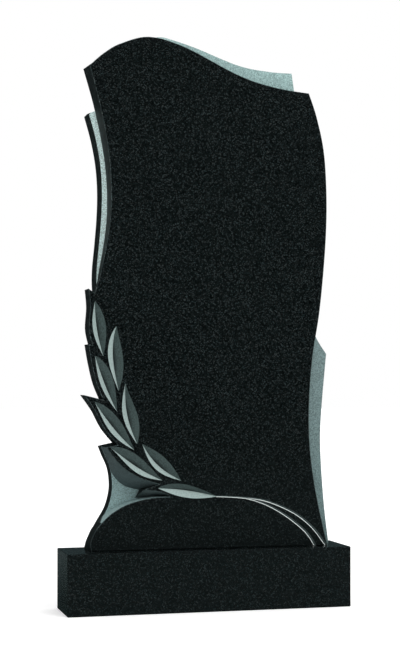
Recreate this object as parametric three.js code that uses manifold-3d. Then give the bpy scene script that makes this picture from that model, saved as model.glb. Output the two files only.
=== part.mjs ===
// Upright headstone: a stele carved from one block of polished black granite, standing on a plinth.
// Millimetres, +Z up. The polished front looks along -Y, and the origin is the middle of the plinth's underside.

import * as THREE from "three";
import { mergeVertices } from "three/addons/utils/BufferGeometryUtils.js";
import Module from "manifold-3d";

const wasm = await Module();
wasm.setup();

// The stele: its height, the width of the raised panel's foot, and the two thicknesses it is carved to.
const steleHeight = 1240;
const footWidth = 590;
const panelThickness = 55;
const rearThickness = 45;

// The plinth stands out past the stele's foot by these margins.
const marginLeft = 64;
const marginRight = 46;
const marginFront = 40;
const marginRear = 10;
const plinthHeight = 147;

// Small work: the worn-off edge of every polished face, the bed joint, the leaves and the grooves.
const arris = 1.5;
const bedJoint = 0.3;
const leafWidth = 38;
const leafDepth = 9;
const grooveWidth = 7;
const grooveDepth = 4;
const stemWidth = 3.5;

// How many straight steps a curve takes between two of its points, and a leaf along its length.
const curveSteps = 4;
const leafSteps = 9;

// A cutter stands out of the face that it cuts by this much.
const clearOfFace = 2;

const plinthWidth = marginLeft + footWidth + marginRight;
const plinthDepth = marginFront + panelThickness + rearThickness + marginRear;

// Planes across the depth, from the front.
const frontPlane = -plinthDepth / 2 + marginFront;
const ledgePlane = frontPlane + panelThickness;
const rearPlane = ledgePlane + rearThickness;

// Outlines are drawn in thousandths: x of the foot's width, z of the stele's height, from the foot's left corner.
// Each list is one smooth curve, and two lists meet in a corner.
const panelRight = [[1000, 0], [953, 97], [925, 185], [919, 270], [934, 371], [966, 466], [990, 585], [997, 681],
  [986, 777], [954, 848], [919, 896]];
const panelTop = [[919, 896], [773, 904], [617, 924], [388, 973], [239, 989], [120, 973], [-7, 928]];
const panelLeft = [[-7, 928], [30, 863], [60, 794], [76, 738], [81, 690], [77, 637], [59, 581], [34, 526], [13, 494]];

// The panel's left edge goes on as the tips of three leaves, then round the two lowest leaves to the foot's shoulder.
const leafTips = [
  [[-7, 502], [-8, 464], [-3, 419], [8, 394]],
  [[-12, 396], [0, 363], [20, 323], [49, 293]],
  [[-29, 302], [12, 273], [54, 235], [108, 206]],
];
const lowLeafEdge = [[63, 201], [85, 183], [132, 159], [195, 140], [279, 127]];
const lastLeafEdge = [[215, 116], [280, 112], [325, 104]];
const shoulder = [[325, 102], [244, 100], [154, 90], [86, 73], [41, 54]];
const panelFoot = [[41, 54], [21, 43], [7, 31], [-4, 15], [0, 0]];

// The rear half of the stone, which the raised panel partly hides.
const rearRight = [[1024, 0], [1012, 73], [1000, 157], [998, 218], [1005, 278], [1015, 331], [1025, 381]];
const rearFlank = [[1025, 381], [983, 413], [953, 452], [932, 548], [932, 661], [919, 774], [895, 871], [873, 943]];
const rearTop = [[873, 943], [773, 944], [639, 953], [454, 983], [347, 997], [312, 1000], [277, 997], [214, 977],
  [137, 911], [68, 861], [0, 843]];
const rearLeft = [[0, 843], [28, 795], [47, 745], [54, 694], [51, 643], [42, 591], [32, 540], [34, 496], [53, 419],
  [73, 347], [95, 274], [125, 211]];
const rearTip = [[56, 202], [71, 182], [93, 157], [102, 131], [100, 108], [84, 80], [53, 54]];
const rearFoot = [[53, 54], [26, 32], [8, 14], [0, 0]];

// Where the sloping backs of the two lowest leaves meet the floor of the hollow.
const lowLeafToe = [[61, 200], [78, 180], [103, 146], [150, 123], [219, 113]];
const lastLeafToe = [[198, 98], [237, 98], [325, 102]];

// Leaves: tip and root in thousandths, then how far the light edge, the midrib and the dark edge stand off the line
// between them, as shares of the leaf's width, and how far along the leaf the dark edge stands off most.
const leaves = [
  { tip: [14, 478], root: [49, 373], light: -0.39, rib: -0.1, dark: 0.45, fullest: 0.43 },
  { tip: [103, 431], root: [112, 306], light: -0.61, rib: -0.26, dark: 0.36, fullest: 0.46 },
  { tip: [15, 374], root: [105, 267], light: -0.34, rib: -0.05, dark: 0.52, fullest: 0.4 },
  { tip: [139, 322], root: [188, 204], light: -0.55, rib: -0.21, dark: 0.4, fullest: 0.62 },
  { tip: [12, 286], root: [176, 193], light: -0.45, rib: -0.1, dark: 0.54, fullest: 0.42 },
  { tip: [78, 198], root: [292, 134], light: -0.54, rib: -0.23, dark: 0.57, fullest: 0.44 },
  { tip: [208, 205], root: [371, 133], light: -0.6, rib: -0.38, dark: 0.4, fullest: 0.5 },
  { tip: [273, 119], root: [524, 101], light: -0.37, rib: 0.1, dark: 0.48, fullest: 0.4 },
];

// Grooves, from the last leaf's root: one stem that parts into two curves, which run out at the foot.
const stem = [[518, 101], [565, 100], [618, 98]];
const upperGroove = [[600, 99], [724, 91], [846, 67], [928, 38], [986, 4], [1006, -10]];
const lowerGroove = [[600, 99], [665, 94], [745, 80], [827, 57], [900, 29], [938, 5], [952, -10]];

function place([x, z]) {
  return new THREE.Vector2((x / 1000) * footWidth, (z / 1000) * steleHeight);
}

function smooth(points) {
  return new THREE.SplineCurve(points.map(place)).getPoints((points.length - 1) * curveSteps);
}

// Joins curves end to end and leaves out the points that two of them share.
function outline(curves) {
  const joined = curves.flatMap(smooth);
  return joined.filter((point, i) => point.distanceTo(joined[(i + 1) % joined.length]) > 0.01);
}

// Moves every side of a closed anticlockwise outline inwards by the same distance.
function inset(loop, distance) {
  return loop.map((point, i) => {
    const before = loop[(i + loop.length - 1) % loop.length];
    const after = loop[(i + 1) % loop.length];
    const sideIn = point.clone().sub(before).normalize();
    const sideOut = after.clone().sub(point).normalize();
    const normalIn = new THREE.Vector2(-sideIn.y, sideIn.x);
    const normalOut = new THREE.Vector2(-sideOut.y, sideOut.x);
    const middle = normalIn.clone().add(normalOut).normalize();
    const reach = distance / Math.max(middle.dot(normalIn), 0.35);
    return point.clone().addScaledVector(middle, reach);
  });
}

// Turns a triangle mesh into a solid, facing out.
function solidOf(vertices, triangles) {
  const geometry = new THREE.BufferGeometry();
  geometry.setAttribute("position", new THREE.Float32BufferAttribute(vertices.flatMap((v) => v.toArray()), 3));
  geometry.setIndex(triangles.flat());
  return solidFrom(geometry);
}

function solidFrom(source) {
  const bare = source.clone();
  bare.deleteAttribute("normal");
  bare.deleteAttribute("uv");
  const merged = mergeVertices(bare, 1e-4);
  const position = merged.attributes.position;
  const index = Uint32Array.from(merged.index.array);
  let volume = 0;
  const corner = [new THREE.Vector3(), new THREE.Vector3(), new THREE.Vector3()];
  for (let i = 0; i < index.length; i += 3) {
    corner.forEach((point, k) => point.fromBufferAttribute(position, index[i + k]));
    volume += corner[0].dot(corner[1].clone().cross(corner[2]));
  }
  if (volume < 0) {
    for (let i = 0; i < index.length; i += 3) {
      [index[i + 1], index[i + 2]] = [index[i + 2], index[i + 1]];
    }
  }
  const vertProperties = Float32Array.from(position.array);
  return new wasm.Manifold(new wasm.Mesh({ numProp: 3, vertProperties, triVerts: index }));
}

// Skins a row of sections that all have the same number of corners, and closes its two ends.
function skin(sections, endTriangles) {
  const count = sections[0].length;
  const triangles = [];
  for (let s = 0; s + 1 < sections.length; s += 1) {
    for (let i = 0; i < count; i += 1) {
      const a = s * count + i;
      const b = s * count + ((i + 1) % count);
      triangles.push([a, b, b + count], [a, b + count, a + count]);
    }
  }
  const last = (sections.length - 1) * count;
  for (const [a, b, c] of endTriangles) {
    triangles.push([a, c, b], [last + a, last + b, last + c]);
  }
  return solidOf(sections.flat(), triangles);
}

// A slab of the stone between two planes, with an arris on its front face, its rear face or both.
function slab(loop, front, rear, arrisFront, arrisRear) {
  const at = (points, y) => points.map((p) => new THREE.Vector3(p.x, y, p.y));
  const sections = [];
  if (arrisFront) {
    sections.push(at(inset(loop, arris), front), at(loop, front + arris));
  } else {
    sections.push(at(loop, front));
  }
  if (arrisRear) {
    sections.push(at(loop, rear - arris), at(inset(loop, arris), rear));
  } else {
    sections.push(at(loop, rear));
  }
  return skin(sections, THREE.ShapeUtils.triangulateShape(loop, []));
}

// A V cut into the front face. Each station has the points of its light edge, its bottom and its dark edge on the
// face, and a depth.
function vCut(stations) {
  const sections = stations.map(({ light, bottom, dark, depth }) => {
    const spread = 1 + clearOfFace / Math.max(depth, clearOfFace);
    const out = (edge) => bottom.clone().lerp(edge, spread);
    const lightOut = out(light);
    const darkOut = out(dark);
    const lift = frontPlane - (spread - 1) * depth;
    return [
      new THREE.Vector3(lightOut.x, lift, lightOut.y),
      new THREE.Vector3(bottom.x, frontPlane + depth, bottom.y),
      new THREE.Vector3(darkOut.x, lift, darkOut.y),
    ];
  });
  return skin(sections, [[0, 1, 2]]);
}

function leafCut({ tip, root, light, rib, dark, fullest }) {
  const start = place(tip);
  const end = place(root);
  const along = end.clone().sub(start).normalize();
  const across = new THREE.Vector2(-along.y, along.x);
  const stations = [];
  for (let i = 0; i <= leafSteps; i += 1) {
    const u = 0.006 + (0.988 * i) / leafSteps;
    const edge = (share, peak) => start.clone().lerp(end, u)
      .addScaledVector(across, share * leafWidth * Math.sin(Math.PI * u ** (Math.log(0.5) / Math.log(peak))));
    stations.push({
      light: edge(light, 0.5),
      bottom: edge(rib, 0.5),
      dark: edge(dark, fullest),
      depth: leafDepth * Math.sin(Math.PI * u) ** 0.7,
    });
  }
  return vCut(stations);
}

// The groove's steep light wall takes a third of its width.
function grooveCut(points, widthAtStart, widthAtEnd) {
  const curve = new THREE.SplineCurve(points.map(place));
  const steps = (points.length - 1) * curveSteps;
  const stations = [];
  for (let i = 0; i <= steps; i += 1) {
    const centre = curve.getPoint(i / steps);
    const along = curve.getTangent(i / steps);
    const across = new THREE.Vector2(-along.y, along.x);
    const width = THREE.MathUtils.lerp(widthAtStart, widthAtEnd, i / steps);
    stations.push({
      light: centre.clone().addScaledVector(across, -width / 3),
      bottom: centre,
      dark: centre.clone().addScaledVector(across, (2 * width) / 3),
      depth: (grooveDepth * width) / grooveWidth,
    });
  }
  return vCut(stations);
}

// The sloping back of a low leaf: from its edge on the front plane down to its toe on the hollow's floor.
function leafBack(edge, toe, steps) {
  const edgeCurve = new THREE.SplineCurve(edge.map(place));
  const toeCurve = new THREE.SplineCurve(toe.map(place));
  const sections = [];
  for (let i = 0; i <= steps; i += 1) {
    const high = edgeCurve.getPoint(i / steps);
    const low = toeCurve.getPoint(i / steps);
    sections.push([
      new THREE.Vector3(high.x, frontPlane + arris, high.y),
      new THREE.Vector3(low.x, ledgePlane, low.y),
      new THREE.Vector3(low.x, ledgePlane + arris, low.y),
      new THREE.Vector3(high.x, ledgePlane + arris, high.y),
    ]);
  }
  return skin(sections, [[0, 1, 2], [0, 2, 3]]);
}

function meshOf(solid, name, material) {
  const { vertProperties, triVerts } = solid.getMesh();
  const geometry = new THREE.BufferGeometry();
  geometry.setAttribute("position", new THREE.BufferAttribute(vertProperties, 3));
  geometry.setIndex(new THREE.BufferAttribute(triVerts, 1));
  const mesh = new THREE.Mesh(geometry, material);
  mesh.name = name;
  return mesh;
}

// Stele. Its drawing starts at the foot's left corner, so the mesh is moved to its place on the plinth.
const lowerLeft = [...leafTips, lowLeafEdge, lastLeafEdge, shoulder, panelFoot];
const panelLoop = outline([panelRight, panelTop, panelLeft, ...lowerLeft]);
const rearLoop = outline([rearRight, rearFlank, rearTop, rearLeft, rearTip, rearFoot]);
let stone = slab(panelLoop, frontPlane, ledgePlane, true, false)
  .add(slab(rearLoop, ledgePlane, rearPlane, false, true))
  .add(leafBack(lowLeafEdge, lowLeafToe, 16))
  .add(leafBack(lastLeafEdge, lastLeafToe, 8));
for (const leaf of leaves) {
  stone = stone.subtract(leafCut(leaf));
}
stone = stone
  .subtract(grooveCut(stem, stemWidth, stemWidth))
  .subtract(grooveCut(upperGroove, stemWidth, grooveWidth))
  .subtract(grooveCut(lowerGroove, stemWidth, grooveWidth));

const polished = { color: 0x14191b, roughness: 0.12, metalness: 0 };
const stele = meshOf(stone, "stele", new THREE.MeshStandardMaterial(polished));
stele.position.set(-plinthWidth / 2 + marginLeft, 0, plinthHeight + bedJoint);

// Plinth: a block with small arrises all round, extruded upwards.
const halfWidth = plinthWidth / 2;
const halfDepth = plinthDepth / 2;
const plan = new THREE.Shape();
plan.moveTo(-halfWidth + arris, -halfDepth);
plan.lineTo(halfWidth - arris, -halfDepth);
plan.lineTo(halfWidth, -halfDepth + arris);
plan.lineTo(halfWidth, halfDepth - arris);
plan.lineTo(halfWidth - arris, halfDepth);
plan.lineTo(-halfWidth + arris, halfDepth);
plan.lineTo(-halfWidth, halfDepth - arris);
plan.lineTo(-halfWidth, -halfDepth + arris);
plan.closePath();
const block = new THREE.ExtrudeGeometry(plan, {
  depth: plinthHeight - 2 * arris,
  bevelEnabled: true,
  bevelThickness: arris,
  bevelSize: arris,
  bevelOffset: -arris,
  bevelSegments: 1,
});
block.translate(0, 0, arris);
const plinth = meshOf(solidFrom(block), "plinth", new THREE.MeshStandardMaterial(polished));

const headstone = new THREE.Group();
headstone.add(stele, plinth);

export default headstone;
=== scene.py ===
import math

import bmesh
import bpy
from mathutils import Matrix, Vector


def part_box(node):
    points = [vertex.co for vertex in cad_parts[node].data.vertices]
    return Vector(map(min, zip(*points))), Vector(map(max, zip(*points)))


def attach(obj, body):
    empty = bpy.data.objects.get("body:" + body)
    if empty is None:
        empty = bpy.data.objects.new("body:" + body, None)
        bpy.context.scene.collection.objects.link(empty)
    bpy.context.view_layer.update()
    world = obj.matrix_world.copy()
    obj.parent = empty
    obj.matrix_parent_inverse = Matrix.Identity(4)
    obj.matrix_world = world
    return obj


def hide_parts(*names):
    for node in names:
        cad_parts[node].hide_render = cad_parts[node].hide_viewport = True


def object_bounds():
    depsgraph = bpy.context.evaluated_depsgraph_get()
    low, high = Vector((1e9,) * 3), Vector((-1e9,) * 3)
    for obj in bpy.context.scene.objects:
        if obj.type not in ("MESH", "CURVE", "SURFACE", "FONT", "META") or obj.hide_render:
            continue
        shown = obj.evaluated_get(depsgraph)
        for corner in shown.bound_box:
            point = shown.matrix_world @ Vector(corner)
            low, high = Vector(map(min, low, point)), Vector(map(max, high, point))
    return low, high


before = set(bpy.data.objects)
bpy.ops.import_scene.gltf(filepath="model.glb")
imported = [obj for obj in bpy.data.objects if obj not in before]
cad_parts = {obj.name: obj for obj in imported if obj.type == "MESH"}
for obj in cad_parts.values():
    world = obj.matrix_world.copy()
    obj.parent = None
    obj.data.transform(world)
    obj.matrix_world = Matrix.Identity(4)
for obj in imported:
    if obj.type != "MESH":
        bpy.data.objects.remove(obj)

cad_low, cad_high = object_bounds()

# Camera. The stone is seen from its front left, from about the height of a seated person, with a long lens held
# level. The picture is the upper part of what the lens sees, so the uprights stay upright.
photo_height_px = 648
focal_length_px = 1474
middle_below_picture_px = 62
sensor_mm = 36
turn_to_right_deg = 14.63
camera_data = bpy.data.cameras.new("camera")
camera_data.sensor_width = sensor_mm
camera_data.lens = focal_length_px / photo_height_px * sensor_mm
camera_data.shift_y = middle_below_picture_px / photo_height_px
camera = bpy.data.objects.new("camera", camera_data)
camera.location = (-0.9178, -3.4713, 0.5395)
camera.rotation_euler = (math.radians(90), 0, math.radians(-turn_to_right_deg))
bpy.context.collection.objects.link(camera)
bpy.context.scene.camera = camera


# Plinth: one sawn block of black granite, polished on all its seen faces, with a worn-off edge all round. It stands
# on the ground by its own weight, and fine pale crystals show in its polish.
def tree_of(material):
    material.use_nodes = True
    return material.node_tree, material.node_tree.nodes["Principled BSDF"]


def add(tree, kind, inputs=(), **settings):
    """A new node with its settings. An input that is given a socket is linked to it, and any other is set."""
    node = tree.nodes.new(kind)
    for key, value in settings.items():
        setattr(node, key, value)
    for key, value in dict(inputs).items():
        if isinstance(value, bpy.types.NodeSocket):
            tree.links.new(value, node.inputs[key])
        else:
            node.inputs[key].default_value = value
    return node


def ramp(tree, value, stops):
    """The colour at a value between stops, each of them a position and a colour."""
    node = add(tree, "ShaderNodeValToRGB", {"Fac": value})
    elements = node.color_ramp.elements
    while len(elements) < len(stops):
        elements.new(0.5)
    for element, (position, color) in zip(elements, stops):
        element.position = position
        element.color = (*color, 1)
    return node.outputs["Color"]


def tinted(tree, color, tint):
    """The product of two colours, each of them a socket or a plain colour."""
    node = add(tree, "ShaderNodeMix", {0: 1.0}, data_type="RGBA", blend_type="MULTIPLY")
    for key, value in ((6, color), (7, tint)):
        if isinstance(value, bpy.types.NodeSocket):
            tree.links.new(value, node.inputs[key])
        else:
            node.inputs[key].default_value = (*value, 1)
    return node.outputs[2]


def granite(name, brightness, contrast, roughness, specular):
    """Black granite. Each crystal takes a grey and a cast of its own, and few of them are pale."""
    crystal_size = 0.0019
    mean_grey = (0.0064, 0.0092, 0.0092)
    crystal_greys = [(0.0, (0.0000, 0.0000, 0.0000)), (0.35, (0.0010, 0.0018, 0.0018)),
                     (0.65, (0.0062, 0.0092, 0.0092)), (0.88, (0.0170, 0.0230, 0.0230)),
                     (1.0, (0.0410, 0.0530, 0.0530))]
    material = bpy.data.materials.new(name)
    tree, shader = tree_of(material)
    place = add(tree, "ShaderNodeTexCoord").outputs["Object"]
    crystals = add(tree, "ShaderNodeTexVoronoi", {"Vector": place, "Scale": 1 / crystal_size})
    which = add(tree, "ShaderNodeSeparateColor", {"Color": crystals.outputs["Color"]})
    greys = [(share, tuple(brightness * (mean + contrast * (own - mean)) for mean, own in zip(mean_grey, grey)))
             for share, grey in crystal_greys]
    cast = ramp(tree, which.outputs["Green"], [(0.0, (0.80, 1.0, 1.06)), (1.0, (1.18, 1.0, 0.96))])
    tree.links.new(tinted(tree, ramp(tree, which.outputs["Red"], greys), cast), shader.inputs["Base Color"])
    shader.inputs["Roughness"].default_value = roughness
    shader.inputs["Specular IOR Level"].default_value = specular
    return material


plinth_polish = granite("plinth_polish", brightness=0.92, contrast=0.48, roughness=0.13, specular=0.5)
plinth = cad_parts["plinth"]
plinth.data.materials.clear()
plinth.data.materials.append(plinth_polish)


# Stele: carved from one slab of the same granite. The front half is a raised, polished panel, and round it the slab
# is cut back to ledges that are sandblasted pale. Its sides are honed dark. It stands on the plinth, with the shadow
# in the joint painted as a dark line.
stele_height = 1.240
foot_width = 0.590
panel_thickness = 0.055
arris = 0.0015
room_at_corners = 4 * arris
least_mitre_cosine = 0.35
curve_steps = 12
front_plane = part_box("stele")[0].y
rear_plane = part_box("stele")[1].y
ledge_plane = front_plane + panel_thickness
margin_left = 0.064
foot_corner = Vector((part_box("plinth")[0].x + margin_left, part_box("stele")[0].z))

# The ledge's outer edge at the left is rounded off. The panel's left wall leans: it stands out a little towards the
# top, and in towards the branch, where it is undercut more steeply.
ledge_round = 0.004
wall_lean = 0.0175
wall_plumb_at = 1.015
undercut = 0.09
undercut_below = 0.86

# Outlines are drawn in thousandths: of the foot's width across, and of the stele's height up, from the foot's left
# corner. Each list is one smooth curve, and two lists meet in a corner.
panel_right = [(1000, 0), (953, 97), (925, 185), (919, 270), (934, 371), (966, 466), (990, 585), (997, 681),
               (986, 777), (954, 848), (919, 896)]
panel_top = [(919, 896), (773, 904), (617, 924), (388, 973), (239, 989), (120, 973), (49, 952), (-7, 928)]
panel_left = [(-7, 928), (30, 863), (60, 794), (76, 738), (81, 690), (77, 637), (59, 581), (34, 526), (13, 494)]
leaf_tips = [
    [(-11, 502), (-5, 468), (-10, 426), (4, 394)],
    [(-12, 396), (0, 363), (20, 323), (48, 290)],
    [(-30, 299), (12, 271), (54, 234), (108, 203)],
]
low_leaf_edge = [(63, 199), (85, 183), (132, 159), (195, 140), (279, 127)]
last_leaf_edge = [(215, 116), (280, 112), (325, 104)]
shoulder = [(325, 102), (244, 100), (154, 90), (86, 73), (41, 54)]
panel_foot = [(41, 54), (21, 43), (7, 31), (-4, 15), (0, 0)]

rear_right = [(1037, 0), (1018, 73), (1004, 157), (1000, 218), (1007, 278), (1017, 331), (1027, 381)]
rear_flank = [(1027, 381), (983, 413), (953, 452), (932, 548), (932, 661), (919, 774), (895, 871), (873, 943)]
rear_top = [(873, 943), (773, 944), (639, 953), (454, 983), (347, 997), (312, 1000), (277, 997), (214, 977),
            (137, 911), (68, 861), (0, 843)]
rear_left = [(0, 843), (28, 795), (47, 745), (54, 694), (51, 643), (42, 591), (32, 540), (34, 496), (53, 419),
             (73, 347), (95, 274), (125, 206)]
rear_tip = [(56, 199), (71, 181), (93, 157), (102, 131), (100, 108), (84, 80), (53, 54)]
rear_foot = [(53, 54), (26, 32), (8, 14), (0, 0)]

# Where the sloping backs of the two lowest leaves meet the floor of the hollow.
low_leaf_toe = [(61, 198), (78, 180), (103, 146), (150, 123), (219, 113)]
last_leaf_toe = [(198, 98), (237, 98), (325, 102)]


def place_of(point):
    return foot_corner + Vector((point[0] / 1000 * foot_width, point[1] / 1000 * stele_height))


def smooth(points, steps=curve_steps):
    """A curve through all the points, which leaves each of them in the direction of its neighbours."""
    knots = [place_of(p) for p in points]
    last = len(knots) - 1
    curve = []
    for i in range(last):
        before, start, end, after = (knots[min(max(k, 0), last)] for k in (i - 1, i, i + 1, i + 2))
        for s in range(steps):
            t = s / steps
            leave = (end - before) / 2
            arrive = (after - start) / 2
            curve.append((2 * start - 2 * end + leave + arrive) * t ** 3
                         + (-3 * start + 3 * end - 2 * leave - arrive) * t ** 2 + leave * t + start)
    return curve + [knots[-1]]


def outline(curves):
    """Curves joined end to end, and the curve that each point starts a side of. The corners keep some room round
    them, which the worn-off edge needs to turn there."""
    loop = []
    sides = []
    corners = [place_of(curve[0]) for curve in curves]
    for curve, corner in zip(curves, corners):
        kept = [corner] + [p for p in smooth(curve) if min((p - c).length for c in corners) > room_at_corners]
        loop += kept
        sides += [curve] * len(kept)
    return loop, sides


def inset(loop, distance):
    """The loop with all its sides moved inwards. The mitre of a very sharp corner is cut short."""
    moved = []
    for i, point in enumerate(loop):
        side_in = (point - loop[i - 1]).normalized()
        side_out = (loop[(i + 1) % len(loop)] - point).normalized()
        normal_in = Vector((-side_in.y, side_in.x))
        normal_out = Vector((-side_out.y, side_out.x))
        middle = (normal_in + normal_out).normalized()
        moved.append(point + middle * distance / max(middle.dot(normal_in), least_mitre_cosine))
    return moved


def eased(loop, sides, eased_side, distance_at):
    """The loop with the points of one of its curves moved inwards, by a distance that may change with the height."""
    return [point + (moved - point) * distance_at(point.y) if side is eased_side else point
            for point, moved, side in zip(loop, inset(loop, 1.0), sides)]


def at(loop, y):
    return [Vector((p.x, y, p.y)) for p in loop]


def hewn(name, sections, strips, start, end):
    """A closed mesh skinned over sections. Each strip between two sections has one material, or one for each side."""
    count = len(sections[0])
    faces = []
    surface_kinds = []
    for s, strip in enumerate(strips):
        for i in range(count):
            a = s * count + i
            b = s * count + (i + 1) % count
            faces.append((a, b, b + count, a + count))
            surface_kinds.append(strip[i] if isinstance(strip, list) else strip)
    faces.append(tuple(reversed(range(count))))
    faces.append(tuple(range((len(sections) - 1) * count, len(sections) * count)))
    surface_kinds += [start, end]
    mesh = bpy.data.meshes.new(name)
    mesh.from_pydata([p for section in sections for p in section], [], faces)
    used = list(dict.fromkeys(surface_kinds))
    for finish in used:
        mesh.materials.append(finish)
    for polygon, finish in zip(mesh.polygons, surface_kinds):
        polygon.material_index = used.index(finish)
    shape = bmesh.new()
    shape.from_mesh(mesh)
    bmesh.ops.recalc_face_normals(shape, faces=shape.faces)
    shape.to_mesh(mesh)
    shape.free()
    made = bpy.data.objects.new(name, mesh)
    bpy.context.collection.objects.link(made)
    return made


def matte_stone(name, color, grain=0.3):
    """Sandblasted stone, with a fine grain. The colour is plain, or a function that makes it, and on some walls it
    holds painted light or shade.
    """
    specks_per_metre = 420.0
    darkest_noise = 0.35
    palest_noise = 0.65
    relief_height = 0.0004
    material = bpy.data.materials.new(name)
    tree, shader = tree_of(material)
    place = add(tree, "ShaderNodeTexCoord").outputs["Object"]
    specks = add(tree, "ShaderNodeTexNoise", {"Vector": place, "Scale": specks_per_metre, "Detail": 3.0,
                                              "Roughness": 0.7})
    spread = add(tree, "ShaderNodeMapRange", {"Value": specks.outputs["Fac"], "From Min": darkest_noise,
                                              "From Max": palest_noise, "To Min": 1 - grain, "To Max": 1 + grain})
    plain = color(tree, place) if callable(color) else color
    tree.links.new(tinted(tree, plain, spread.outputs["Result"]), shader.inputs["Base Color"])
    relief = add(tree, "ShaderNodeBump", {"Height": specks.outputs["Fac"], "Strength": 0.25,
                                          "Distance": relief_height})
    tree.links.new(relief.outputs["Normal"], shader.inputs["Normal"])
    shader.inputs["Roughness"].default_value = 0.8
    shader.inputs["Specular IOR Level"].default_value = 0.2
    return material


def height_share(tree, place):
    """How high a point stands above the ground, as a share of the whole height."""
    axes = add(tree, "ShaderNodeSeparateXYZ", {"Vector": place})
    share = add(tree, "ShaderNodeMapRange", {"Value": axes.outputs["Z"], "From Max": cad_high.z})
    return share.outputs["Result"]


def ledge_painted_light_and_shade(tree, place):
    """The ledges are pale blasted stone with light and shade painted on: painted lit at the upper left, painted
    darker as in shade at the right and lower down, and painted dark as shade at the foot, under the lowest leaves and
    beside the leaf tips. The hollow below is pale again."""
    left_until = -0.20
    right_from = -0.05
    share = height_share(tree, place)
    # Painted light and shade on the left: painted shade at the foot, under the lowest leaves and beside the leaf
    # tips, painted light high up.
    left = ramp(tree, share, [(0.0, (0.02, 0.03, 0.03)), (0.146, (0.05, 0.07, 0.07)), (0.153, (0.205, 0.30, 0.30)),
                              (0.235, (0.205, 0.30, 0.30)), (0.25, (0.05, 0.07, 0.07)), (0.40, (0.24, 0.31, 0.31)),
                              (0.55, (0.66, 0.84, 0.82)), (1.0, (0.66, 0.84, 0.82))])
    # Painted shade on the right: darkest low down, lighter towards the top.
    right = ramp(tree, share, [(0.12, (0.12, 0.18, 0.18)), (0.20, (0.14, 0.205, 0.205)),
                               (0.42, (0.155, 0.22, 0.22)), (0.90, (0.31, 0.45, 0.44))])
    axes = add(tree, "ShaderNodeSeparateXYZ", {"Vector": place})
    across = add(tree, "ShaderNodeMapRange", {"Value": axes.outputs["X"], "From Min": left_until,
                                              "From Max": right_from})
    both = add(tree, "ShaderNodeMix", {"Factor": across.outputs["Result"]}, data_type="RGBA")
    tree.links.new(left, both.inputs[6])
    tree.links.new(right, both.inputs[7])
    return both.outputs[2]


def tongue_color(tree, place):
    """The wall of the hollow under the branch is as pale as the hollow's floor. Its pale part ends in a point at the
    foot, where the wall is honed dark."""
    point_height_share = 0.014
    axes = add(tree, "ShaderNodeSeparateXYZ", {"Vector": place})
    depth = add(tree, "ShaderNodeMapRange", {"Value": axes.outputs["Y"], "From Min": front_plane,
                                             "From Max": ledge_plane, "To Max": point_height_share})
    pointed = add(tree, "ShaderNodeMath", {0: height_share(tree, place), 1: depth.outputs["Result"]},
                  operation="SUBTRACT")
    return ramp(tree, pointed.outputs[0], [(0.149, (0.02, 0.03, 0.03)), (0.152, (0.20, 0.29, 0.29))])


def calm_towards_foot(material):
    """The crystals show less in the lower part of the stone, where the polish mirrors the pale ground."""
    plain_grey = (0.0062, 0.0088, 0.0088)
    tree, shader = tree_of(material)
    place = add(tree, "ShaderNodeTexCoord").outputs["Object"]
    shown = ramp(tree, height_share(tree, place), [(0.11, (0.55, 0.55, 0.55)), (0.20, (0.65, 0.65, 0.65)),
                                                   (0.30, (0.85, 0.85, 0.85)), (0.42, (0.97, 0.97, 0.97))])
    calmed = add(tree, "ShaderNodeMix", {"Factor": shown}, data_type="RGBA")
    calmed.inputs[6].default_value = (*plain_grey, 1)
    tree.links.new(shader.inputs["Base Color"].links[0].from_socket, calmed.inputs[7])
    tree.links.new(calmed.outputs[2], shader.inputs["Base Color"])


polished = granite("polished_granite", brightness=0.70, contrast=1.0, roughness=0.13, specular=0.5)
calm_towards_foot(polished)
honed = granite("honed_granite", brightness=1.6, contrast=0.6, roughness=0.5, specular=0.1)
# The arris strips are worn paler than the honed sides, and paler still as a painted highlight along the edge.
worn_edge_painted_highlight = granite("worn_edge_painted_highlight", brightness=4.5, contrast=0.6, roughness=0.4, specular=0.3)
# Painted shadow: the panel's foot edge is painted nearly black as the shade in the joint with the plinth.
joint_painted_shadow = granite("joint_painted_shadow", brightness=0.1, contrast=0.6, roughness=0.9, specular=0.0)
ledge = matte_stone("blasted_ledge_painted_light_and_shade", ledge_painted_light_and_shade, grain=0.45)
# Painted shade: the sloping backs of the two lowest leaves are blasted stone painted dark, as their walls lie in
# shade.
low_leaf_back_painted_shade = matte_stone("low_leaf_back_painted_shade", (0.045, 0.068, 0.070), grain=0.5)
last_leaf_back_painted_shade = matte_stone("last_leaf_back_painted_shade", (0.052, 0.074, 0.074), grain=0.5)
tongue = matte_stone("tongue", tongue_color, grain=0.45)

panel_loop, panel_sides = outline([panel_right, panel_top, panel_left, *leaf_tips, low_leaf_edge, last_leaf_edge,
                                   shoulder, panel_foot])
rear_loop, rear_sides = outline([rear_right, rear_flank, rear_top, rear_left, rear_tip, rear_foot])
leaning = eased(panel_loop, panel_sides, panel_left,
                lambda height: max(wall_lean * (wall_plumb_at - height), undercut * (undercut_below - height)))
rounded = eased(rear_loop, rear_sides, rear_left, lambda height: ledge_round)

# The wall under the branch is as pale as the hollow. The panel's front edges are worn pale with a painted highlight,
# and its last side is its foot, whose edge is painted dark as the shadow in the joint.
panel_walls = [tongue if side is shoulder else honed for side in panel_sides]
panel_edges = [worn_edge_painted_highlight] * (len(panel_loop) - 1) + [joint_painted_shadow]
panel = hewn("panel", [at(inset(panel_loop, arris), front_plane), at(panel_loop, front_plane + arris),
                       at(leaning, ledge_plane)], [panel_edges, panel_walls], polished, honed)
rear = hewn("rear", [at(rounded, ledge_plane), at(rear_loop, ledge_plane + ledge_round),
                     at(rear_loop, rear_plane - arris), at(inset(rear_loop, arris), rear_plane)],
            [honed, honed, worn_edge_painted_highlight], ledge, polished)


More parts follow.
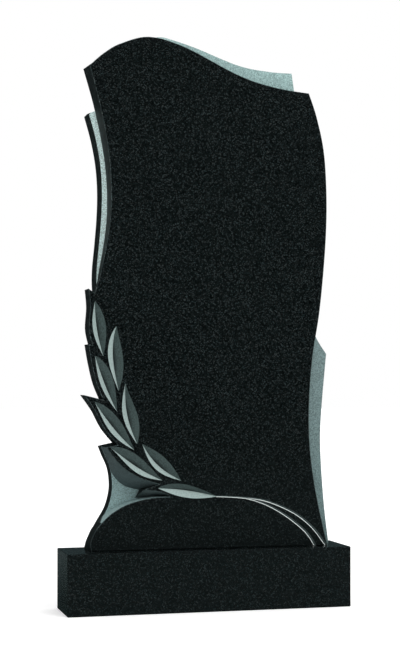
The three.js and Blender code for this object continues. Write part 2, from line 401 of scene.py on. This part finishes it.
def leaf_back(name, edge, toe, finish):
    """The sloping back of a low leaf, from its edge on the front down to its toe on the hollow's floor. Its hidden
    side bites a little into the panel."""
    bite_along = 0.002
    bite_in = 0.0005
    high = smooth(edge)
    low = smooth(toe, curve_steps * (len(edge) - 1) // (len(toe) - 1))
    sections = []
    for i, (h, t) in enumerate(zip(high, low)):
        run = (high[min(i + 1, len(high) - 1)] - high[max(i - 1, 0)]).normalized()
        inner = h + bite_along * run + bite_in * Vector((-run.y, run.x))
        sections.append([Vector((h.x, front_plane + arris, h.y)), Vector((t.x, ledge_plane, t.y)),
                         Vector((t.x, ledge_plane + arris, t.y)), Vector((inner.x, ledge_plane + arris, inner.y))])
    return hewn(name, sections, [[finish, ledge, ledge, honed]] * (len(sections) - 1), honed, honed)


joins = [rear, leaf_back("low_leaf", low_leaf_edge, low_leaf_toe, low_leaf_back_painted_shade),
         leaf_back("last_leaf", last_leaf_edge, last_leaf_toe, last_leaf_back_painted_shade)]


# Branch: eight leaves are cut into the lower left of the panel. Each is a hollow of two walls that meet in a midrib:
# a narrow one that is blasted pale and painted lit, and a wide one that is painted dark as in shade.
leaf_width = 0.038
leaf_depth = 0.009
leaf_sections = 29
leaf_floor_roundness = 0.7
clear_of_face = 0.002

# Each leaf has its tip and root in thousandths, as the outlines, then how far its light edge, midrib and dark edge
# stand off the line between them, as shares of the leaf width. The first two stand off most at the crest, and the
# dark edge where the leaf is fullest, both as shares of its length from the tip.
leaves = [
    dict(tip=(14, 478), root=(49, 373), light=-0.39, rib=-0.1, crest=0.5, dark=0.45, fullest=0.43),
    dict(tip=(103, 431), root=(112, 306), light=-0.61, rib=-0.26, crest=0.42, dark=0.35, fullest=0.57),
    dict(tip=(15, 374), root=(105, 267), light=-0.34, rib=-0.05, crest=0.5, dark=0.52, fullest=0.4),
    dict(tip=(139, 322), root=(188, 204), light=-0.55, rib=-0.23, crest=0.5, dark=0.38, fullest=0.62),
    dict(tip=(12, 286), root=(176, 193), light=-0.42, rib=-0.1, crest=0.55, dark=0.49, fullest=0.41),
    dict(tip=(78, 198), root=(292, 134), light=-0.45, rib=-0.13, crest=0.58, dark=0.5, fullest=0.37),
    dict(tip=(208, 205), root=(371, 133), light=-0.58, rib=-0.28, crest=0.5, dark=0.33, fullest=0.5),
    dict(tip=(273, 119), root=(524, 101), light=-0.34, rib=0.1, crest=0.5, dark=0.48, fullest=0.4),
]


def number(tree, operation, *values):
    return add(tree, "ShaderNodeMath", dict(enumerate(values)), operation=operation).outputs[0]


def vector(tree, operation, *values):
    return add(tree, "ShaderNodeVectorMath", dict(enumerate(values)), operation=operation).outputs[0]


def carving_tree(name, sizes):
    """A Geometry Nodes tree with named inputs, and the sockets that give them."""
    tree = bpy.data.node_groups.new(name, "GeometryNodeTree")
    for label, kind in sizes.items():
        tree.interface.new_socket(label, in_out="INPUT", socket_type=f"NodeSocket{kind}")
    tree.interface.new_socket("cutter", in_out="OUTPUT", socket_type="NodeSocketGeometry")
    return tree, tree.nodes.new("NodeGroupInput").outputs


def give(tree, geometry):
    """Ends a tree with its cutter."""
    tree.links.new(geometry, tree.nodes.new("NodeGroupOutput").inputs[0])


# The V that both the leaves and the grooves are cut with. A tube of three corners has them moved to the light edge,
# the bottom and the dark edge of each section, and its two walls stand a little clear of the face. The light wall
# lies between the first two corners, so their numbers are a half there on average, and one or more elsewhere.
tube_corners = 3
light_wall_below = 0.75
v_cutter, given = carving_tree("v_cutter", dict(sections="Int", light="Vector", bottom="Vector", dark="Vector",
                                                depth="Float", clear="Float", light_finish="Material",
                                                dark_finish="Material"))
line = add(v_cutter, "GeometryNodeMeshLine", {"Count": given["sections"]})
spine = add(v_cutter, "GeometryNodeMeshToCurve", {"Mesh": line.outputs[0]})
profile = add(v_cutter, "GeometryNodeCurvePrimitiveCircle", {"Resolution": tube_corners})
tube = add(v_cutter, "GeometryNodeCurveToMesh", {"Curve": spine.outputs[0], "Profile Curve": profile.outputs[0],
                                                 "Fill Caps": True})
corner = number(v_cutter, "MODULO", add(v_cutter, "GeometryNodeInputIndex").outputs[0], tube_corners)
spread = number(v_cutter, "ADD", 1.0, number(v_cutter, "DIVIDE", given["clear"],
                                             number(v_cutter, "MAXIMUM", given["depth"], given["clear"])))
places = [vector(v_cutter, "MULTIPLY_ADD", vector(v_cutter, "SUBTRACT", given[edge], given["bottom"]), spread,
                 given["bottom"]) for edge in ("light", "dark")]
choice = add(v_cutter, "GeometryNodeIndexSwitch", data_type="VECTOR")
choice.index_switch_items.new()
for key, value in enumerate((corner, places[0], given["bottom"], places[1])):
    v_cutter.links.new(value, choice.inputs[key])
shaped = add(v_cutter, "GeometryNodeSetPosition", {"Geometry": tube.outputs[0], "Position": choice.outputs[0]})
on_points = add(v_cutter, "GeometryNodeFieldOnDomain", {0: corner}, domain="POINT")
on_light_wall = number(v_cutter, "LESS_THAN", on_points.outputs[0], light_wall_below)
real = add(v_cutter, "GeometryNodeRealizeInstances", {0: shaped.outputs[0]})
all_dark = add(v_cutter, "GeometryNodeSetMaterial", {"Geometry": real.outputs[0], "Material": given["dark_finish"]})
both_walls = add(v_cutter, "GeometryNodeSetMaterial", {"Geometry": all_dark.outputs[0], "Selection": on_light_wall,
                                                       "Material": given["light_finish"]})
give(v_cutter, both_walls.outputs[0])


def share_along(tree, sections):
    """How far along the cutter each corner of its mesh stands, from 0 to 1."""
    index = add(tree, "GeometryNodeInputIndex").outputs[0]
    section = number(tree, "FLOOR", number(tree, "DIVIDE", index, tube_corners))
    return number(tree, "DIVIDE", section, number(tree, "SUBTRACT", sections, 1.0))


def across_of(tree, along):
    """Square to a line on the front face, on that face."""
    return vector(tree, "NORMALIZE", vector(tree, "CROSS_PRODUCT", along, (0.0, 1.0, 0.0)))


def give_v(tree, given, light, bottom_line, dark, depth):
    """Ends a tree with a V cutter, whose bottom is pushed into the stone from its line on the face."""
    inwards = add(tree, "ShaderNodeCombineXYZ", {"Y": depth}).outputs[0]
    v = add(tree, "GeometryNodeGroup", node_tree=v_cutter)
    wanted = dict(sections=given["sections"], light=light, bottom=vector(tree, "ADD", bottom_line, inwards),
                  dark=dark, depth=depth, clear=given["clear"], light_finish=given["light_finish"],
                  dark_finish=given["dark_finish"])
    for key, value in wanted.items():
        tree.links.new(value, v.inputs[key])
    give(tree, v.outputs[0])


# A leaf: its edges and its midrib bow out from the line between tip and root. The cutter starts and ends a little
# short of both, where it would have no width.
leaf_start = 0.006
leaf_reach = 1 - 2 * leaf_start
leaf_tree, given = carving_tree("leaf", dict(tip="Vector", root="Vector", light="Float", rib="Float", crest="Float",
                                             dark="Float", fullest="Float", width="Float", depth="Float",
                                             clear="Float", sections="Int", light_finish="Material",
                                             dark_finish="Material"))
along = number(leaf_tree, "MULTIPLY_ADD", share_along(leaf_tree, given["sections"]), leaf_reach, leaf_start)
run = vector(leaf_tree, "SUBTRACT", given["root"], given["tip"])
midline = vector(leaf_tree, "MULTIPLY_ADD", run, along, given["tip"])
across = across_of(leaf_tree, run)
bow = number(leaf_tree, "SINE", number(leaf_tree, "MULTIPLY", along, math.pi))
skewed = {key: number(leaf_tree, "POWER", along, number(leaf_tree, "LOGARITHM", 0.5, given[key]))
          for key in ("crest", "fullest")}
bows = {key: number(leaf_tree, "SINE", number(leaf_tree, "MULTIPLY", value, math.pi))
        for key, value in skewed.items()}
edges = []
for edge, key in (("light", "crest"), ("rib", "crest"), ("dark", "fullest")):
    furthest = number(leaf_tree, "MULTIPLY", given[edge], given["width"])
    off_midline = number(leaf_tree, "MULTIPLY", furthest, bows[key])
    edges.append(vector(leaf_tree, "MULTIPLY_ADD", across, off_midline, midline))
leaf_floor = number(leaf_tree, "MULTIPLY", given["depth"], number(leaf_tree, "POWER", bow, leaf_floor_roundness))
give_v(leaf_tree, given, *edges, leaf_floor)


def cutter(name, mesh, tree, **sizes):
    """An object that a tree shapes into a cutter. Its sizes are the tree's inputs, by name."""
    made = bpy.data.objects.new(name, mesh)
    bpy.context.collection.objects.link(made)
    carving = made.modifiers.new(name, "NODES")
    carving.node_group = tree
    for item in tree.interface.items_tree:
        if item.name in sizes:
            carving[item.identifier] = sizes[item.name]
    return made


def painted_leaf_shade_color(tree, place):
    """The dark wall of a leaf is painted as in shade, and the painted shade is deepest in the fold along its midrib.
    """
    axes = add(tree, "ShaderNodeSeparateXYZ", {"Vector": place})
    depth = add(tree, "ShaderNodeMapRange", {"Value": axes.outputs["Y"], "From Min": front_plane,
                                             "From Max": front_plane + leaf_depth}).outputs["Result"]
    return ramp(tree, depth, [(0.0, (0.042, 0.064, 0.062)), (0.6, (0.038, 0.058, 0.056)),
                              (0.95, (0.008, 0.013, 0.013))])


# Painted light and shade: both walls of a leaf are the same carved stone, one painted pale as lit, the other dark as
# shaded.
leaf_painted_lit = matte_stone("leaf_painted_lit", (0.275, 0.35, 0.337), grain=0.25)
leaf_painted_shade = matte_stone("leaf_painted_shade", painted_leaf_shade_color, grain=0.5)

cuts = []
for i, leaf in enumerate(leaves):
    tip, root = at([place_of(leaf["tip"]), place_of(leaf["root"])], front_plane)
    shape = {**leaf, "tip": tuple(tip), "root": tuple(root)}
    cuts.append(cutter(f"leaf_{i}", bpy.data.meshes.new(f"leaf_{i}"), leaf_tree, **shape, width=leaf_width,
                       depth=leaf_depth, clear=clear_of_face, sections=leaf_sections, light_finish=leaf_painted_lit,
                       dark_finish=leaf_painted_shade))


# Grooves: the branch's stem is a fine V groove that parts into two, and both widen as they curve down to the foot.
# The steep wall of each is blasted white and painted lit, and the flat one is painted dark as in shade.
groove_width = 0.007
groove_depth = 0.004
stem_width = 0.0035
light_wall_share = 1 / 3
grooves = [
    dict(points=[(518, 101), (565, 100), (618, 98)], end_width=stem_width),
    dict(points=[(600, 99), (724, 91), (846, 67), (928, 38), (986, 4), (1006, -10)], end_width=groove_width),
    dict(points=[(600, 99), (665, 94), (745, 80), (827, 57), (900, 29), (938, 5), (952, -10)],
         end_width=groove_width),
]

groove_tree, given = carving_tree("groove", dict(path="Geometry", start_width="Float", end_width="Float",
                                                 light_share="Float", depth_share="Float", clear="Float",
                                                 sections="Int", light_finish="Material", dark_finish="Material"))
along = share_along(groove_tree, given["sections"])
drawn = add(groove_tree, "GeometryNodeMeshToCurve", {"Mesh": given["path"]})
on_path = add(groove_tree, "GeometryNodeSampleCurve", {"Curves": drawn.outputs[0], "Factor": along}, mode="FACTOR")
middle = on_path.outputs["Position"]
across = across_of(groove_tree, on_path.outputs["Tangent"])
width = number(groove_tree, "MULTIPLY_ADD", along,
               number(groove_tree, "SUBTRACT", given["end_width"], given["start_width"]), given["start_width"])
to_light = number(groove_tree, "MULTIPLY", width, number(groove_tree, "MULTIPLY", given["light_share"], -1.0))
to_dark = number(groove_tree, "ADD", width, to_light)
give_v(groove_tree, given, vector(groove_tree, "MULTIPLY_ADD", across, to_light, middle), middle,
       vector(groove_tree, "MULTIPLY_ADD", across, to_dark, middle),
       number(groove_tree, "MULTIPLY", width, given["depth_share"]))

# Painted light and shade: the two walls of a groove are one carved stone, painted white as lit and dark as shaded.
groove_painted_lit = matte_stone("groove_painted_lit", (0.85, 0.92, 0.9), grain=0.1)
groove_painted_shade = matte_stone("groove_painted_shade", (0.045, 0.062, 0.062))
for i, groove in enumerate(grooves):
    stations = at(smooth(groove["points"]), front_plane)
    path = bpy.data.meshes.new(f"groove_{i}")
    path.from_pydata(stations, [(k, k + 1) for k in range(len(stations) - 1)], [])
    cuts.append(cutter(f"groove_{i}", path, groove_tree, start_width=stem_width, end_width=groove["end_width"],
                       light_share=light_wall_share, depth_share=groove_depth / groove_width, clear=clear_of_face,
                       sections=len(stations), light_finish=groove_painted_lit, dark_finish=groove_painted_shade))


# The stone again: the two halves and the leaf backs are one solid, and the branch and the grooves are cut out of it.
# Each cut leaves its painted lit and shaded walls on the stone, and edges sharper than the curves' steps stay crisp.
sharp_edge_deg = 24
for operation, tools in (("UNION", joins), ("DIFFERENCE", cuts)):
    for tool in tools:
        step = panel.modifiers.new(tool.name, "BOOLEAN")
        step.operation = operation
        step.object = tool
        step.solver = "MANIFOLD"
        step.material_mode = "TRANSFER"
bpy.context.view_layer.update()
carved = bpy.data.meshes.new_from_object(panel.evaluated_get(bpy.context.evaluated_depsgraph_get()))
for block in [panel, *joins, *cuts]:
    bpy.data.objects.remove(block)
stele = bpy.data.objects.new("stele_stone", carved)
bpy.context.collection.objects.link(stele)
carved.polygons.foreach_set("use_smooth", [True] * len(carved.polygons))
carved.set_sharp_from_angle(angle=math.radians(sharp_edge_deg))
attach(stele, "root")
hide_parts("stele")


# Floor and light: a plain pale floor, a wide soft light from above and the right, and an even pale surround. The
# polish mirrors a dim room, as in a photographer's tent, so that it stays black. The floor is lifted to white.
def by_ray(tree, ray, otherwise, seen):
    """One shader for one kind of ray, and another for all other rays."""
    path = add(tree, "ShaderNodeLightPath")
    return add(tree, "ShaderNodeMixShader", {0: path.outputs[ray], 1: otherwise, 2: seen}).outputs[0]


reach = 30.0
floor_lift = 0.28
mirrored_from = 0.2
mirrored_to = 1.4
light_spread_deg = 50
light_direction = Vector((-0.55, 0.60, -0.70))
floor_mesh = bpy.data.meshes.new("floor")
floor_mesh.from_pydata([(-reach, -reach, 0), (reach, -reach, 0), (reach, reach, 0), (-reach, reach, 0)], [],
                       [(0, 1, 2, 3)])
floor = bpy.data.objects.new("floor", floor_mesh)
bpy.context.collection.objects.link(floor)
paper = bpy.data.materials.new("floor_paper")
paper_tree, paper_shader = tree_of(paper)
paper_shader.inputs["Base Color"].default_value = (0.93, 0.93, 0.93, 1)
paper_shader.inputs["Roughness"].default_value = 0.9
on_floor = add(paper_tree, "ShaderNodeTexCoord").outputs["Object"]
spot = add(paper_tree, "ShaderNodeSeparateXYZ", {"Vector": on_floor})
behind = add(paper_tree, "ShaderNodeMapRange", {"Value": spot.outputs["Y"], "From Min": mirrored_from,
                                                "From Max": mirrored_to})
mirrored = ramp(paper_tree, behind.outputs["Result"], [(0.0, (0.016, 0.024, 0.024)), (1.0, (0.07, 0.095, 0.095))])
dim = add(paper_tree, "ShaderNodeEmission", {"Color": mirrored})
glow = add(paper_tree, "ShaderNodeEmission", {"Strength": floor_lift})
lifted = add(paper_tree, "ShaderNodeAddShader", {0: paper_shader.outputs[0], 1: glow.outputs[0]})
plain_or_lifted = by_ray(paper_tree, "Is Camera Ray", paper_shader.outputs[0], lifted.outputs[0])
paper_tree.links.new(by_ray(paper_tree, "Is Glossy Ray", plain_or_lifted, dim.outputs[0]),
                     paper_tree.nodes["Material Output"].inputs["Surface"])
floor_mesh.materials.append(paper)

world = bpy.data.worlds.new("surround")
bpy.context.scene.world = world
world.use_nodes = True
sky = world.node_tree
pale = add(sky, "ShaderNodeBackground", {"Color": (1.0, 1.0, 1.0, 1), "Strength": 1.0})
room = add(sky, "ShaderNodeBackground", {"Color": (0.031, 0.047, 0.049, 1), "Strength": 1.0})
sky.links.new(by_ray(sky, "Is Glossy Ray", pale.outputs[0], room.outputs[0]),
              sky.nodes["World Output"].inputs["Surface"])

lamp_data = bpy.data.lights.new("soft_key", "SUN")
lamp_data.energy = 1.2
lamp_data.angle = math.radians(light_spread_deg)
lamp_data.specular_factor = 0.0
lamp = bpy.data.objects.new("soft_key", lamp_data)
lamp.rotation_euler = light_direction.to_track_quat("-Z", "Y").to_euler()
bpy.context.collection.objects.link(lamp)
bpy.context.scene.view_settings.view_transform = "Standard"
